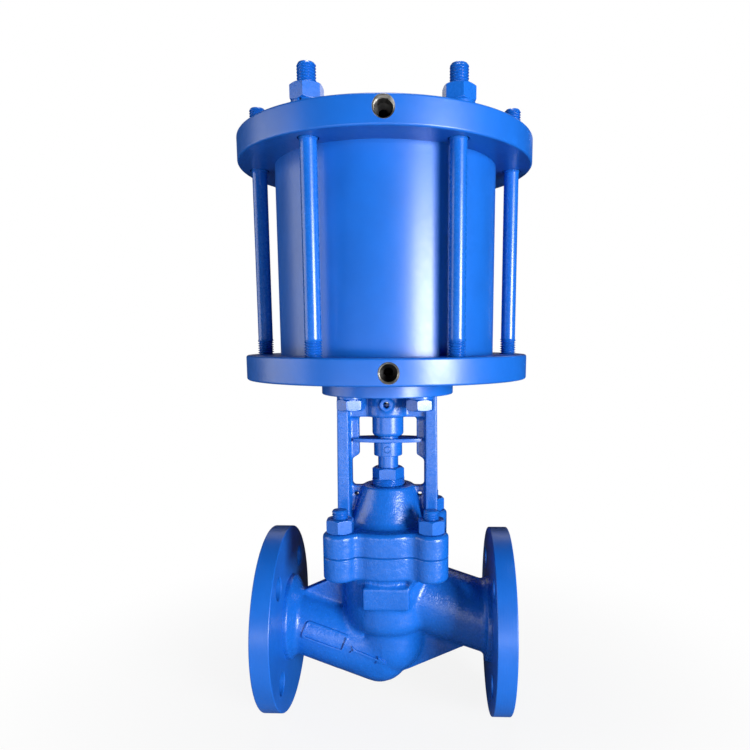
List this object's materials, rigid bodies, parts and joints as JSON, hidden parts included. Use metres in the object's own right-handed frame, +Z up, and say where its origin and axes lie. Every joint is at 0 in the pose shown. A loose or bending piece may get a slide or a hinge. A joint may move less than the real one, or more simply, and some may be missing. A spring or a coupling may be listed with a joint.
{
  "type": "pneumatic bellows globe valve",
  "caption": "Flanged straight globe valve with a bellows-sealed rising stem, opened by an air piston on a yoke and closed by a spring.",
  "frame": {"origin": "centre of the valve's footprint on the stem axis, level with the lowest points of the pipe flanges", "axes": "+X from inlet to outlet along the pipe, +Z up the stem, -Y towards the side with the air ports"},
  "size_m": [0.2144, 0.2144, 0.4694],
  "materials": {
    "cast_paint": "glossy blue paint over sand casting",
    "machined_paint": "glossy blue paint over turned steel",
    "fastener_paint": "glossy blue paint",
    "coupling_paint": "glossy blue paint over turned steel",
    "stainless_steel": "turned",
    "bare_steel": "oiled",
    "bronze": "turned",
    "graphite": "matt",
    "seal_rubber": "matt",
    "guide_plastic": "matt",
    "cast_aluminium": "turned"
  },
  "bodies": {
    "housing": {"valve_body": "cast_paint", "seat_ring": "stainless_steel", "body_gasket": "graphite", "bellows_gasket": "graphite", "bellows_top_ring": "stainless_steel", "bellows": "stainless_steel", "bonnet_yoke": "cast_paint", "bonnet_studs": "fastener_paint", "bonnet_nuts": "fastener_paint", "stem_guide_bush": "bronze", "packing_rings": "graphite", "packing_follower": "bare_steel", "gland_nut": "fastener_paint", "yoke_bolts": "fastener_paint", "yoke_bolt_washers": "fastener_paint", "bottom_cover": "machined_paint", "cylinder_barrel": "machined_paint", "barrel_gasket_lower": "seal_rubber", "barrel_gasket_upper": "seal_rubber", "top_cover": "machined_paint", "tie_rods": "fastener_paint", "tie_rod_washers": "fastener_paint", "tie_rod_nuts": "fastener_paint", "rod_wiper": "seal_rubber", "rod_bush": "bronze", "rod_seal": "seal_rubber", "return_spring": "bare_steel", "lift_stop_tube": "bare_steel"},
    "stem_train": {"disc": "stainless_steel", "disc_lock_ring": "stainless_steel", "stem": "coupling_paint", "bellows_end_ring": "stainless_steel", "stem_sleeve": "coupling_paint", "sleeve_pin": "coupling_paint", "anti_rotation_plate": "coupling_paint", "rod_coupling": "coupling_paint", "piston_rod": "stainless_steel", "piston": "cast_aluminium", "piston_seal": "seal_rubber", "piston_guide_ring": "guide_plastic", "piston_washer": "bare_steel", "piston_nut": "bare_steel"}
  },
  "joints": [
    {"name": "stem_lift", "type": "slide", "parent": "housing", "child": "stem_train", "axis": [0, 0, 1], "range_m": [0, 0.012], "stiffness_N_per_m": 37200, "springref_m": -0.05, "deforming": ["bellows", "return_spring"]}
  ]
}
